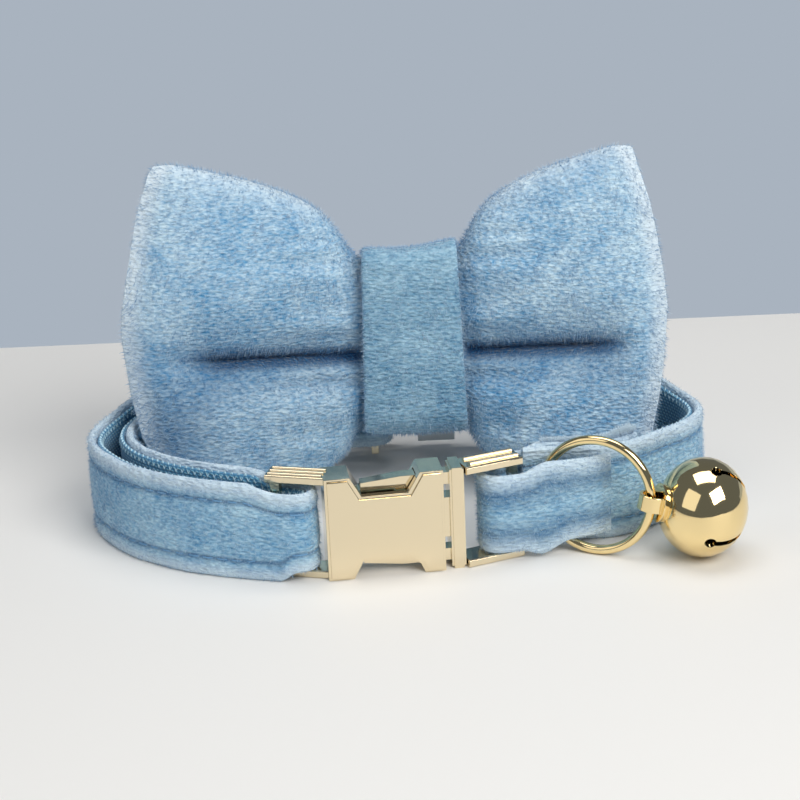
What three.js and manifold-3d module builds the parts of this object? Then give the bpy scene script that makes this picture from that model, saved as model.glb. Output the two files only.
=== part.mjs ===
// Pet bow tie collar: a velvet-faced strap closed by a side-release buckle,
// with a round ring and bell on the front, a strap slider at the back and a
// padded bow with its knot, resting on a table.  Millimetres, +Z up, front -Y.
import * as THREE from 'three';
import Module from 'manifold-3d';

const wasm = await Module();
wasm.setup();
const { Manifold, CrossSection } = wasm;

const group = new THREE.Group();
group.name = 'pet_bow_tie_collar';

// ---------------------------------------------------------------- materials
const finishes = {
  velvet: { color: 0x8fb8d6, roughness: 0.95, metalness: 0 },
  webbing: { color: 0x2b6a9e, roughness: 0.85, metalness: 0 },
  gold: { color: 0xe8cf9a, roughness: 0.12, metalness: 1 },
  elastic: { color: 0xe9edf0, roughness: 0.8, metalness: 0 },
};

const add = (name, geometry, finish) => {
  const material = new THREE.MeshStandardMaterial({ ...finishes[finish] });
  material.name = `${name}_${finish}`;
  const mesh = new THREE.Mesh(geometry, material);
  mesh.name = name;
  group.add(mesh);
  return mesh;
};

// ------------------------------------------------------------ named sizes
const velvetPly = 1.45;      // thickness of the velvet ply
const webbingPly = 0.85;     // thickness of the webbing ply
const plyGap = 0.25;         // between the plies
const strapHigh = 17.0;      // width of the strap
const buckleHigh = 17.8;     // height of the buckle
const railThick = 1.4;       // thickness of a frame rail
const buckleThick = 7.0;     // front to back
const buckleYaw = 7 * Math.PI / 180;
const buckleAt = [-0.65, 0.25];          // middle of the front plate

// ---------------------------------------------------------------- helpers
const geometryOf = (solid) => {
  const mesh = solid.getMesh();
  const flat = new Float32Array(mesh.numVert * 3);
  for (let i = 0; i < mesh.numVert; i += 1) {
    for (let k = 0; k < 3; k += 1) flat[3 * i + k] = mesh.vertProperties[i * mesh.numProp + k];
  }
  const geometry = new THREE.BufferGeometry();
  geometry.setAttribute('position', new THREE.BufferAttribute(flat, 3));
  geometry.setIndex(Array.from(mesh.triVerts));
  return geometry;
};

const prism = (points, z0, z1) => Manifold.extrude(new CrossSection([points]), z1 - z0).translate([0, 0, z0]);

// Smooth curve through plan points, returned as points about `step` apart.
const through = (points, step) => {
  const curve = new THREE.CatmullRomCurve3(points.map(([x, y]) => new THREE.Vector3(x, y, 0)), false, 'centripetal');
  const count = Math.max(4, Math.round(curve.getLength() / step));
  return curve.getSpacedPoints(count).map((p) => [p.x, p.y]);
};

// Points of an arc about a centre, both ends included.
const arc = (cx, cy, r, from, to, count) => Array.from({ length: count + 1 }, (_, i) => {
  const a = from + (to - from) * i / count;
  return [cx + r * Math.cos(a), cy + r * Math.sin(a)];
});

const smooth = (a, b, t) => {
  const u = Math.min(1, Math.max(0, (t - a) / (b - a)));
  return u * u * (3 - 2 * u);
};

// A ply: a plan path carried at a side offset, with its own thickness and its
// own bottom and top height at every point, section chamfered at the edges.
const ply = (path, { near, far, heights, chamfer }) => {
  const rows = path.map((p, i) => {
    const a = path[Math.max(0, i - 1)];
    const b = path[Math.min(path.length - 1, i + 1)];
    const length = Math.hypot(b[0] - a[0], b[1] - a[1]);
    const nx = (b[1] - a[1]) / length;
    const ny = -(b[0] - a[0]) / length;      // right-hand side of travel
    const [z0, z1] = heights(p, i);
    const c = chamfer;
    const at = (s, z) => [p[0] + nx * s, p[1] + ny * s, z];
    return [
      at(near, z0 + c * 0.6), at(near + c * 0.7, z0), at(far - c, z0), at(far, z0 + c),
      at(far, z1 - c), at(far - c, z1), at(near + c * 0.7, z1), at(near, z1 - c * 0.6),
    ];
  });
  return loft(rows);
};

// Closed loft through rings of equal point counts, capped flat at both ends.
const loft = (rows) => {
  const n = rows[0].length;
  const position = rows.flat(2);
  const index = [];
  for (let i = 0; i < rows.length - 1; i += 1) {
    for (let k = 0; k < n; k += 1) {
      const a = i * n + k;
      const b = i * n + (k + 1) % n;
      index.push(a, b, b + n, a, b + n, a + n);
    }
  }
  const last = (rows.length - 1) * n;
  for (let k = 1; k < n - 1; k += 1) {
    index.push(0, k + 1, k);
    index.push(last, last + k, last + k + 1);
  }
  const geometry = new THREE.BufferGeometry();
  geometry.setAttribute('position', new THREE.Float32BufferAttribute(position, 3));
  geometry.setIndex(index);
  const volume = signedVolume(geometry);
  if (volume < 0) {
    for (let i = 0; i < index.length; i += 3) [index[i + 1], index[i + 2]] = [index[i + 2], index[i + 1]];
    geometry.setIndex(index);
  }
  return geometry;
};

function signedVolume(geometry) {
  const p = geometry.getAttribute('position');
  const ix = geometry.getIndex();
  let total = 0;
  for (let i = 0; i < ix.count; i += 3) {
    const [a, b, c] = [ix.getX(i), ix.getX(i + 1), ix.getX(i + 2)]
      .map((k) => new THREE.Vector3(p.getX(k), p.getY(k), p.getZ(k)));
    total += a.dot(b.cross(c)) / 6;
  }
  return total;
}

// --------------------------------------------------------------- strap path
// Line between the plies, from the sewn end beside the ring round the right
// end, the back and the left end to the buckle, then folded round the buckle's
// crossbar and back along the inside to the slider's middle bar.
const mainLine = [
  [22.6, 13.3], [26.5, 13.4], [31.5, 13.3], [36.6, 13.4], [40.4, 14.7], [46.4, 19.3], [51.4, 23.6],
  [53.9, 28.6], [53.5, 34.2], [50.6, 40.4], [45.2, 47.2], [35.5, 53.4], [20.0, 57.3],
  [5.0, 58.4], [-10.0, 58.0], [-25.0, 55.6], [-36.8, 50.9], [-44.6, 44.2], [-49.3, 36.6],
  [-50.9, 29.6], [-50.3, 24.8], [-47.6, 19.4], [-42.9, 13.4], [-36.9, 8.7], [-30.6, 5.4], [-23.8, 2.9], [-18.2, 1.35],
];
const femaleDir = -16 * Math.PI / 180;                 // heading of the strap at the buckle
const foldRadius = 2.08;
const foldAt = [-15.25, 2.7];                          // centre of the fold at the buckle
const sliderBarAt = [-2.6, 52.5];                      // centre of the slider's middle bar
const tailLine = [
  [-19.8, 6.9], [-24.5, 8.6], [-31.0, 11.5], [-37.0, 15.1], [-42.2, 20.0], [-44.9, 24.6],
  [-46.1, 29.6], [-45.4, 35.6], [-41.6, 41.9], [-34.6, 47.4], [-24.0, 50.5], [-12.0, 50.6],
];
const foldStart = femaleDir - Math.PI / 2;
const strapPath = [
  ...through(mainLine, 4.4),
  ...arc(foldAt[0], foldAt[1], foldRadius, foldStart, foldStart + Math.PI, 9),
  ...through(tailLine, 4.4),
  ...arc(sliderBarAt[0], sliderBarAt[1], foldRadius, -Math.PI / 2, Math.PI / 2, 8),
  [-7.0, 54.6], [-11.2, 54.5],
];
const strapLift = (p) => 3.7 * smooth(35, 55, p[1]);
// Height of the strap: full width, drawn in where it runs through the frames.
const strapHeights = (margin) => (p) => {
  const drawn = 1 - smooth(19.5, 25, Math.hypot(p[0] + 0.6, p[1] - 2.5));
  const inSlider = 1 - smooth(5.5, 9.5, Math.hypot(p[0] + 2.6, p[1] - 55));
  const pinch = Math.max(1.65 * drawn, 1.15 * inSlider);
  const low = strapLift(p);
  return [low + margin + pinch, low + strapHigh - margin - pinch];
};

add('strap_velvet', ply(strapPath, {
  near: plyGap / 2, far: plyGap / 2 + velvetPly, heights: strapHeights(0), chamfer: 0.5,
}), 'velvet');
add('strap_webbing', ply(strapPath, {
  near: -plyGap / 2, far: -plyGap / 2 - webbingPly, heights: strapHeights(0.7), chamfer: -0.2,
}), 'webbing');

// ------------------------------------------------------------------ end tab
// Velvet tab folded round the male crossbar; its front leg runs over the ring
// and its back leg over the inside of the strap's end.
const tabPath = [
  ...through([
    [36.7, 9.6], [34.2, 8.25], [31.0, 7.2], [26.0, 5.95], [21.0, 4.75], [18.0, 4.3], [16.2, 5.0],
    [15.3, 6.9], [15.6, 9.6], [17.0, 12.6], [19.6, 14.8], [23.0, 15.5], [28.0, 15.7],
    [33.0, 15.65], [36.2, 15.75], [39.0, 16.6], [42.2, 18.9],
  ], 1.9),
];
const tabHeights = (p) => {
  const drawn = 1 - smooth(21.5, 26.5, p[0]);
  const front = p[1] < 10.2 ? smooth(23.5, 30.5, p[0]) : 0;
  return [1.65 * drawn + 2.5 * front, strapHigh - 1.65 * drawn - 0.3 * front];
};
add('end_tab', ply(tabPath, {
  near: -velvetPly / 2, far: velvetPly / 2, heights: tabHeights, chamfer: 0.45,
}), 'velvet');

// ------------------------------------------------------------------- buckle
// u runs along the front plate, v inwards from it, z up.
const toCollar = (solid) => solid
  .rotate([0, 0, buckleYaw * 180 / Math.PI])
  .translate([buckleAt[0], buckleAt[1], 0]);
const plate = (outline, v0, v1) => Manifold.extrude(new CrossSection([outline]), v1 - v0)
  .rotate([90, 0, 0]).translate([0, v1, 0]);
const box = (u0, u1, v0, v1, z0, z1) => Manifold.cube([u1 - u0, v1 - v0, z1 - z0]).translate([u0, v0, z0]);
const top = buckleHigh;

const bodyOutline = (inset) => [
  [-9.75 + inset, 0 + inset], [-5.5 - inset, 0 + inset], [-3.7 - inset, 3.4 + inset], [3.7 + inset, 3.4 + inset],
  [5.6 + inset, 1.6 + inset], [6.3 + inset, 0 + inset], [9.75 - inset, 0 + inset],
  [9.75 - inset, top - inset], [5.9 + inset, top - inset], [3.9 + inset, top - 3.4 - inset],
  [-3.7 - inset, top - 3.4 - inset], [-5.5 - inset, top - inset], [-9.75 + inset, top - inset],
];
const bodySolid = Manifold.union([
  plate(bodyOutline(0.45), 0, buckleThick),
  plate(bodyOutline(0), 0.45, buckleThick - 0.45),
]);
const sleeves = Manifold.union([
  box(2.0, 12, 1.9, 5.1, 14.25, 16.95),        // channel of the upper prong
  box(2.0, 12, 1.9, 5.1, 0.85, 3.55),          // channel of the lower prong
  box(3.5, 12, 1.5, 5.5, 5.0, 12.8),           // socket of the middle tongue
]);
// Rails that run from the body along the strap, joined by the crossbar.
const frameRail = (from, to, wide, z0) => {
  const length = Math.hypot(to[0] - from[0], to[1] - from[1]);
  const nx = -(to[1] - from[1]) / length * wide / 2;
  const ny = (to[0] - from[0]) / length * wide / 2;
  return Manifold.hull([
    prism([[from[0] - nx, from[1] - ny], [to[0] - nx, to[1] - ny], [to[0] + nx, to[1] + ny], [from[0] + nx, from[1] + ny]],
      z0 + 0.2, z0 + railThick - 0.2),
    prism([[from[0] - nx * 0.9, from[1] - ny * 0.9], [to[0] - nx * 0.9, to[1] - ny * 0.9],
      [to[0] + nx * 0.9, to[1] + ny * 0.9], [from[0] + nx * 0.9, from[1] + ny * 0.9]], z0, z0 + railThick),
  ]);
};
const crossbar = (at, heading, along, thick) => Manifold.cube([along, thick, buckleHigh - 0.8], true)
  .rotate([0, 0, heading]).translate([at[0], at[1], buckleHigh / 2]);
const femaleEnd = [-19.6, 5.1];
const femaleFrame = Manifold.union([
  frameRail([-9.4, 2.4], femaleEnd, 4.4, buckleHigh - railThick),
  frameRail([-9.4, 2.4], femaleEnd, 4.4, 0),
  crossbar([-18.4, 3.95], -16, 1.6, 1.5),
]);
add('buckle_body', geometryOf(Manifold.union([
  toCollar(bodySolid.subtract(sleeves)), femaleFrame,
])), 'gold');

const prong = (z0, z1, rise) => Manifold.hull([
  box(3.0, 12.5, 2.2, 4.8, z0, z1),
  box(-3.65, -3.1, 2.4, 4.6, z0 + 0.15 + rise, z0 + 1.45 + rise),
]);
const maleEnd = [21.3, 8.5];
const clipBar = Manifold.union([
  box(11.2, 12.9, 0.9, 6.1, 0, top),
  box(10.85, 13.25, 1.2, 5.8, 0.35, top - 0.35),
]);
add('buckle_clip', geometryOf(Manifold.union([
  toCollar(Manifold.union([clipBar, prong(14.6, 16.7, -0.05), prong(1.1, 3.2, 0.55), box(5.5, 12, 1.9, 5.1, 5.4, 12.4)])),
  frameRail([11.9, 4.6], maleEnd, 4.9, buckleHigh - railThick),
  frameRail([11.9, 4.6], maleEnd, 4.9, 0),
  crossbar([20.5, 8.9], 14, 1.6, 1.6),
])), 'gold');

// ------------------------------------------------------------ ring and bell
const torus = (radius, wire, around, across) => geometryOf(
  Manifold.revolve(CrossSection.circle(wire, across).translate([radius, 0]), around),
);
const ringRadius = 9.45;
const ringWire = 0.8;
const ringYaw = -25 * Math.PI / 180;
const ringLean = 5 * Math.PI / 180;
const ringAt = new THREE.Vector3(34.3, 6.8, ringRadius * Math.cos(ringLean) + ringWire + 0.02);
const ringTurn = new THREE.Matrix4().makeRotationZ(ringYaw)
  .multiply(new THREE.Matrix4().makeRotationX(-ringLean))
  .multiply(new THREE.Matrix4().makeRotationX(Math.PI / 2));
const ringGeometry = torus(ringRadius, ringWire, 44, 10);
ringGeometry.applyMatrix4(ringTurn);
ringGeometry.translate(ringAt.x, ringAt.y, ringAt.z);
add('bell_ring', ringGeometry, 'gold');

// The bell: a hollow squashed ball, slit crosswise at its outer pole, each slit
// ending in a round hole, with a flat cap and a strip loop round the ring.
const bellRadius = 8.35;
const bellWall = 0.7;
const bellLong = 0.88;                                  // length over diameter
const ringSide = new THREE.Vector3(ringRadius, 0, 0).applyMatrix4(ringTurn).add(ringAt);
const bellYaw = 9;
const bellAxis = [Math.cos(bellYaw * Math.PI / 180), Math.sin(bellYaw * Math.PI / 180)];
const bellTo = 8.95;                                    // ring wire to bell middle
const bellDip = Math.asin((ringSide.z - bellRadius) / bellTo) * 180 / Math.PI;
const bellReach = bellTo * Math.cos(bellDip * Math.PI / 180);
const slits = [0, 90, 180, 270].map((turn) => Manifold.union([
  box(-0.4, 9, -0.45, 0.45, 0, 9),
  Manifold.cylinder(6, 0.95, 0.95, 16).translate([-0.4, 0, 3.2]),
]).rotate([turn, 0, 0]));
const ball = Manifold.sphere(bellRadius, 32).scale([bellLong, 1, 1]);
const hollow = Manifold.sphere(bellRadius - bellWall, 24).scale([bellLong, 1, 1]);
const slitCut = Manifold.union(slits);
const strip = Manifold.extrude(new CrossSection([[
  [2.4, 2.15], ...arc(0, 0, 2.15, Math.PI / 2, Math.PI * 1.5, 12), [2.4, -2.15],
  [2.4, -1.65], ...arc(0, 0, 1.65, Math.PI * 1.5, Math.PI / 2, 12), [2.4, 1.65],
]]), 2.6).translate([-bellTo, 0, -1.3]);
const cap = Manifold.cylinder(1.5, 3.3, 3.0, 20).rotate([0, 90, 0]).translate([-7.75, 0, 0]);
const shell = Manifold.union([ball, cap]).subtract(hollow)
  .subtract(slitCut.rotate([24, 0, 0]))
  .add(strip);
add('bell', geometryOf(shell
  .rotate([0, bellDip, 0])
  .rotate([0, 0, bellYaw])
  .translate([ringSide.x + bellAxis[0] * bellReach, ringSide.y + bellAxis[1] * bellReach, bellRadius + 0.02])), 'gold');

// ------------------------------------------------------------------- slider
// Oval slider: the side bars stand outside the strap, the middle bar inside.
const sliderAt = [-2.6, 60.4];
const oval = (half, radius, straight) => [
  ...arc(0, straight, radius, 0, Math.PI, 14), ...arc(0, -straight, radius, Math.PI, 2 * Math.PI, 14),
].map(([a, b]) => [a * half, b]);
const sliderZ = 3.7 + strapHigh / 2;
const sliderFrame = Manifold.extrude(new CrossSection([oval(1, 5.6, 5.25)]), 1.6)
  .subtract(Manifold.extrude(new CrossSection([oval(1, 4.0, 5.25)]), 4).translate([0, 0, -1]))
  .rotate([90, 0, 0]).translate([sliderAt[0], sliderAt[1] + 1.6, sliderZ]);
const middleBar = Manifold.union([
  box(sliderAt[0] - 0.7, sliderAt[0] + 0.7, 51.8, 53.2, sliderZ - 9.4, sliderZ + 9.4),
  box(sliderAt[0] - 0.7, sliderAt[0] + 0.7, 51.8, 60.8, sliderZ + 8.6, sliderZ + 10.3),
  box(sliderAt[0] - 0.7, sliderAt[0] + 0.7, 51.8, 60.8, sliderZ - 10.3, sliderZ - 8.6),
]);
add('slider', geometryOf(Manifold.union([sliderFrame, middleBar])), 'gold');

// ---------------------------------------------------------------------- bow
// Local axes: x along the wings, y towards the back, z up the leaning bow.
const bowAt = [5.2, 41.7, 25.6];
const bowLean = 15 * Math.PI / 180;
const fromBow = ([x, y, z]) => [
  bowAt[0] + x,
  bowAt[1] + y * Math.cos(bowLean) + z * Math.sin(bowLean),
  bowAt[2] - y * Math.sin(bowLean) + z * Math.cos(bowLean),
];
const lerpTable = (table, t) => {
  for (let i = 0; i < table.length - 1; i += 1) {
    const [a, va] = table[i];
    const [b, vb] = table[i + 1];
    if (t <= b) return va + (vb - va) * Math.max(0, (t - a) / (b - a));
  }
  return table[table.length - 1][1];
};
// Each wing:  [share of the wing, value]
const wing = {
  up: [[0, 16.2], [0.215, 16.3], [0.28, 23.4], [0.33, 26], [0.45, 28.9], [0.6, 31.4], [0.77, 33.3], [0.95, 35.2], [1, 34.6]],
  down: [[0, 12.2], [0.215, 12.3], [0.28, 18.2], [0.45, 23.8], [0.75, 27.2], [0.95, 28.2], [1, 27.2]],
  thick: [[0, 5.7], [0.215, 5.7], [0.27, 7.6], [0.45, 9.2], [0.7, 8.6], [0.88, 6.4], [0.97, 3.8], [1, 1.9]],
};
// How far the wing reaches at a height: [local z, left, right]
const reachLeft = [[-27, 44.0], [-18, 46.0], [-13, 48.6], [-5, 50.4], [5, 51.5], [9, 51.2], [17, 49.6], [26, 47.8], [33, 45.5], [36, 43.6]];
const reachRight = [[-27, 39.4], [-18, 41.0], [-10, 43.2], [-4, 44.3], [6, 45.4], [12, 44.9], [19, 43.9], [25, 42.8], [30, 41.2], [34, 40.2], [36, 39.0]];
const bowRing = (share) => {
  const t = Math.abs(share);
  const up = lerpTable(wing.up, t);
  const down = lerpTable(wing.down, t);
  const thick = lerpTable(wing.thick, t);
  const crease = 0.5 * smooth(0.05, 0.3, t) * (1 - smooth(0.75, 1.0, t));
  return Array.from({ length: 28 }, (_, k) => {
    const a = 2 * Math.PI * k / 28;
    const s = Math.sin(a);
    const c = Math.cos(a);
    const z = Math.sign(s) * Math.abs(s) ** 0.8 * (s > 0 ? up : down);
    const reach = lerpTable(share < 0 ? reachLeft : reachRight, z);
    const y = -Math.sign(c) * Math.abs(c) ** 0.62 * thick * (1 - (c > 0 ? crease : crease * 0.6) * Math.exp(-((z / 5.5) ** 2)));
    const p = fromBow([share * reach, y - 6.5 * t * t, z]);
    return [p[0], p[1], Math.max(0.02, p[2])];
  });
};
const shares = [-1, -0.975, -0.92, -0.84, -0.7, -0.55, -0.4, -0.28, -0.215, -0.1, 0, 0.1, 0.215, 0.28, 0.4, 0.55, 0.7, 0.84, 0.92, 0.975, 1];
add('bow_pad', loft(shares.map(bowRing)), 'velvet');

// The knot: a velvet sleeve round the waist of the bow.
const sleeve = (halfHigh, halfDeep, round) => {
  const turn = [];
  [[1, 1, 0], [-1, 1, 90], [-1, -1, 180], [1, -1, 270]].forEach(([sy, sz, from]) => {
    for (let i = 0; i <= 5; i += 1) {
      const a = (from + 18 * i) * Math.PI / 180;
      turn.push([sy * (halfDeep - round) + round * Math.cos(a), sz * (halfHigh - round) + round * Math.sin(a)]);
    }
  });
  return turn;
};
const sleeveSolid = (outer, inner, x0, x1) => Manifold.extrude(new CrossSection([outer]), x1 - x0)
  .subtract(Manifold.extrude(new CrossSection([inner]), x1 - x0 + 2).translate([0, 0, -1]))
  .rotate([90, 0, 90]).translate([x0, 0, 0]);
add('bow_knot', geometryOf(sleeveSolid(sleeve(16.8, 8.0, 4.2), sleeve(15.5, 6.7, 3.0), -8.8, 8.8).translate([0, 0, 2.4])
  .rotate([-bowLean * 180 / Math.PI, 0, 0]).translate(bowAt)), 'velvet');

// Elastic loop behind the knot, round the back of the strap.
const loopOuter = [[46.8, 12.2], [55.2, 2.9], [61.1, 2.9], [61.1, 21.8], [49.35, 21.8]];
const loopInner = [[47.7, 12.4], [55.5, 3.5], [60.5, 3.5], [60.5, 21.2], [50.05, 21.2]];
add('bow_elastic', geometryOf(Manifold.extrude(new CrossSection([loopOuter]), 7)
  .subtract(Manifold.extrude(new CrossSection([loopInner]), 9).translate([0, 0, -1]))
  .rotate([90, 0, 90]).translate([5.6, 0, 0])), 'elastic');

// ------------------------------------------------------------------- origin
group.updateMatrixWorld(true);
const bounds = new THREE.Box3().setFromObject(group);
const middle = bounds.getCenter(new THREE.Vector3());
group.children.forEach((mesh) => mesh.geometry.translate(-middle.x, -middle.y, -bounds.min.z));

export default group;
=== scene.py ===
import math

import bmesh
import bpy
import numpy as np
from mathutils import Matrix, Vector


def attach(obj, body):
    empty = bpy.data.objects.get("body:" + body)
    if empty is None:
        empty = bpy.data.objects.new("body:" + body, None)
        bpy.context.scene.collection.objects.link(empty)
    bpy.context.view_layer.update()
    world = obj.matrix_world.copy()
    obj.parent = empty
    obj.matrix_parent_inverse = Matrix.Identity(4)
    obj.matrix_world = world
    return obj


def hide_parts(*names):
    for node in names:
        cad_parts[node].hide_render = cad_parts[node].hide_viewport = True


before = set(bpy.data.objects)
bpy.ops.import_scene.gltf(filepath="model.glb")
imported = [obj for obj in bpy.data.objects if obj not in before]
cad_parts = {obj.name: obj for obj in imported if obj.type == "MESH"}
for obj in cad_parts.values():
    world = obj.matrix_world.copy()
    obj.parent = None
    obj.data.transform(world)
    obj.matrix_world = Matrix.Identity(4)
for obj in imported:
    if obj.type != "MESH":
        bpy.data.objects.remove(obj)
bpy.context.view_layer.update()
bpy.ops.object.select_all(action="DESELECT")

# Velvet face of the strap: a strip of plush pile cloth, its long edges folded
# over, sewn down with two rows of stitches.  It runs round the loop, folds
# round the buckle's crossbar and comes back on the inside to the slider.
MM = 0.001
CAD_SHIFT = (3.24220, 28.93351)      # plan points less this are measured from the collar's own middle
STRAP_HIGH = 17.0
PLY_GAP = 0.25
VELVET_PLY = 1.45
WEBBING_PLY = 0.85
MAIN_LINE = [
    (22.6, 13.3), (26.5, 13.4), (31.5, 13.3), (36.6, 13.4), (40.4, 14.7), (46.4, 19.3), (51.4, 23.6),
    (53.9, 28.6), (53.5, 34.2), (50.6, 40.4), (45.2, 47.2), (35.5, 53.4), (20.0, 57.3),
    (5.0, 58.4), (-10.0, 58.0), (-25.0, 55.6), (-36.8, 50.9), (-44.6, 44.2), (-49.3, 36.6),
    (-50.9, 29.6), (-50.3, 24.8), (-47.6, 19.4), (-42.9, 13.4), (-36.9, 8.7), (-30.6, 5.4), (-23.8, 2.9),
    (-18.2, 1.35),
]
TAIL_LINE = [
    (-19.8, 6.9), (-24.5, 8.6), (-31.0, 11.5), (-37.0, 15.1), (-42.2, 20.0), (-44.9, 24.6),
    (-46.1, 29.6), (-45.4, 35.6), (-41.6, 41.9), (-34.6, 47.4), (-24.0, 50.5), (-12.0, 50.6),
]
FOLD_AT, FOLD_RADIUS, FOLD_HEADING = (-15.25, 2.7), 2.08, math.radians(-16)
SLIDER_BAR = (-2.6, 52.5)


def line_through(points, step):
    """Points a step apart on the smooth line through plan points."""
    p = np.array(points, float)
    p = np.vstack([2 * p[0] - p[1], p, 2 * p[-1] - p[-2]])
    fine = []
    for i in range(1, len(p) - 2):
        a, b, c, d = p[i - 1:i + 3]
        t1 = np.linalg.norm(b - a) ** 0.5
        t2 = t1 + np.linalg.norm(c - b) ** 0.5
        t3 = t2 + np.linalg.norm(d - c) ** 0.5
        t = np.linspace(t1, t2, 60, endpoint=False)[:, None]
        ab = a + (b - a) * t / t1
        bc = b + (c - b) * (t - t1) / (t2 - t1)
        cd = c + (d - c) * (t - t2) / (t3 - t2)
        abc, bcd = ab + (bc - ab) * t / t2, bc + (cd - bc) * (t - t1) / (t3 - t1)
        fine.append(abc + (bcd - abc) * (t - t1) / (t2 - t1))
    fine = np.vstack([*fine, p[-2]])
    run = np.concatenate([[0], np.cumsum(np.linalg.norm(np.diff(fine, axis=0), axis=1))])
    at = np.linspace(0, run[-1], max(4, round(run[-1] / step)) + 1)
    return np.column_stack([np.interp(at, run, fine[:, k]) for k in (0, 1)])


def turn_round(centre, radius, start, end, step):
    """Points of an arc about a plan point."""
    a = np.linspace(start, end, max(3, round(abs(end - start) * radius / step)) + 1)
    return np.column_stack([centre[0] + radius * np.cos(a), centre[1] + radius * np.sin(a)])


def ease(low, high, value):
    t = np.clip((value - low) / (high - low), 0, 1)
    return t * t * (3 - 2 * t)


def strap_line(step):
    """The whole line between the strap's plies."""
    fold = FOLD_HEADING - math.pi / 2
    rough = np.vstack([
        line_through(MAIN_LINE, step),
        turn_round(FOLD_AT, FOLD_RADIUS, fold, fold + math.pi, step),
        line_through(TAIL_LINE, step),
        turn_round(SLIDER_BAR, FOLD_RADIUS, -math.pi / 2, math.pi / 2, step),
        [(-7.0, 54.6), (-11.2, 54.5)],
    ])
    run = np.concatenate([[0], np.cumsum(np.linalg.norm(np.diff(rough, axis=0), axis=1))])
    at = np.linspace(0, run[-1], round(run[-1] / step) + 1)
    line = np.column_stack([np.interp(at, run, rough[:, k]) for k in (0, 1)])
    for _ in range(round(1.2 / step)):
        line[1:-1] = (line[:-2] + 2 * line[1:-1] + line[2:]) / 4
    return line


def strap_edges(line, margin=0.0):
    """Bottom and top of the strap along its line: it is drawn in at the frames and lifted at the back."""
    drawn = 1 - ease(19.0, 22.5, np.hypot(line[:, 0] + 0.6, line[:, 1] - 2.5))
    slid = 1 - ease(5.5, 9.5, np.hypot(line[:, 0] + 2.6, line[:, 1] - 55))
    pinch = np.maximum(1.65 * drawn, 1.15 * slid)
    low = 3.7 * ease(35, 55, line[:, 1])
    return low + margin + pinch, low + STRAP_HIGH - margin - pinch


def ripple(a, b, seed, waves=9, low=0.15, high=1.0):
    """A smooth repeatable unevenness over two lengths in millimetres, about -1 to 1."""
    r = np.random.default_rng(seed)
    total = np.zeros(np.broadcast(a, b).shape)
    for _ in range(waves):
        f, turn, phase = r.uniform(low, high), r.uniform(0, 2 * math.pi), r.uniform(0, 2 * math.pi)
        total += np.sin(f * (math.cos(turn) * a + math.sin(turn) * b) + phase)
    return total / waves ** 0.5 / 1.4


def carry(name, line, edges, section, uneven=None, proud=None):
    """A closed strip: a section's rows of (side offset, distance in from an edge), carried along a plan line.

    Where proud edges are given, the outer rows follow those; painted shade darkens the stitch grooves and a
    painted sheen pales the rims.
    """
    ahead = np.gradient(line, axis=0)
    ahead /= np.linalg.norm(ahead, axis=1)[:, None]
    side = np.column_stack([ahead[:, 1], -ahead[:, 0]])
    rows = [(s, d, 0) for s, d in section] + [(s, d, 1) for s, d in reversed(section)]
    n, m = len(line), len(rows)
    run = np.concatenate([[0], np.cumsum(np.linalg.norm(np.diff(line, axis=0), axis=1))])
    points = np.zeros((n, m, 3))
    middle = (edges[0] + edges[1]) / 2
    for k, (s, d, upper) in enumerate(rows):
        bottom, top = proud if proud and s > NEAR + 0.7 else edges
        z = bottom + np.minimum(d, middle - bottom) if not upper else top - np.minimum(d, top - middle)
        out = s + (uneven(run, z, s) if uneven else 0)
        points[:, k, :2] = line + side * np.reshape(out, (-1, 1))
        points[:, k, 2] = z
    points[:, :, :2] -= CAD_SHIFT
    points *= MM
    faces = []
    for i in range(n - 1):
        for k in range(m):
            q = (k + 1) % m
            faces.append((i * m + k, i * m + q, (i + 1) * m + q, (i + 1) * m + k))
    faces.append(tuple(range(m))[::-1])
    faces.append(tuple((n - 1) * m + k for k in range(m)))
    mesh = bpy.data.meshes.new(name)
    mesh.from_pydata(points.reshape(-1, 3).tolist(), [], faces)
    strip = mesh.uv_layers.new(name="strip")
    vertex = np.zeros(len(mesh.loops), int)
    mesh.loops.foreach_get("vertex_index", vertex)
    uv = np.column_stack([run[vertex // m] * MM, points.reshape(-1, 3)[vertex, 2]])
    strip.data.foreach_set("uv", uv.ravel())
    if proud is not None:
        # painted shade in the stitch grooves and painted sheen on the rims, stored as vertex attributes
        d = np.tile([row[1] for row in rows], n)
        mesh.attributes.new("painted_shade", "FLOAT", "POINT").data.foreach_set(
            "value", (0.6 * np.exp(-((d - STITCH_IN) / 0.42) ** 2)).astype(np.float32))
        mesh.attributes.new("painted_sheen", "FLOAT", "POINT").data.foreach_set(
            "value", (0.6 * (1 - ease(0.9, 2.9, d))).astype(np.float32))
    mesh.update()
    piece = bpy.data.objects.new(name, mesh)
    bpy.context.scene.collection.objects.link(piece)
    face_outwards(piece)
    shade(piece, 40)
    return piece


def face_outwards(piece):
    cut = bmesh.new()
    cut.from_mesh(piece.data)
    bmesh.ops.recalc_face_normals(cut, faces=cut.faces)
    cut.to_mesh(piece.data)
    cut.free()


def shade(piece, angle):
    bpy.ops.object.select_all(action="DESELECT")
    piece.select_set(True)
    bpy.context.view_layer.objects.active = piece
    bpy.ops.object.shade_smooth_by_angle(angle=math.radians(angle))
    piece.select_set(False)


def dress(piece, material, slot, *nodes):
    """Gives a finished piece its material and its body, and hides the nodes it stands for; the slot is not
    used.
    """
    piece.data.materials.clear()
    piece.data.materials.append(material)
    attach(piece, "root")
    if nodes:
        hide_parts(*nodes)


def tint(code):
    """A screen colour as linear light."""
    c = [int(code[i:i + 2], 16) / 255 for i in (1, 3, 5)]
    return [x / 12.92 if x <= 0.04045 else ((x + 0.055) / 1.055) ** 2.4 for x in c] + [1.0]


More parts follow.
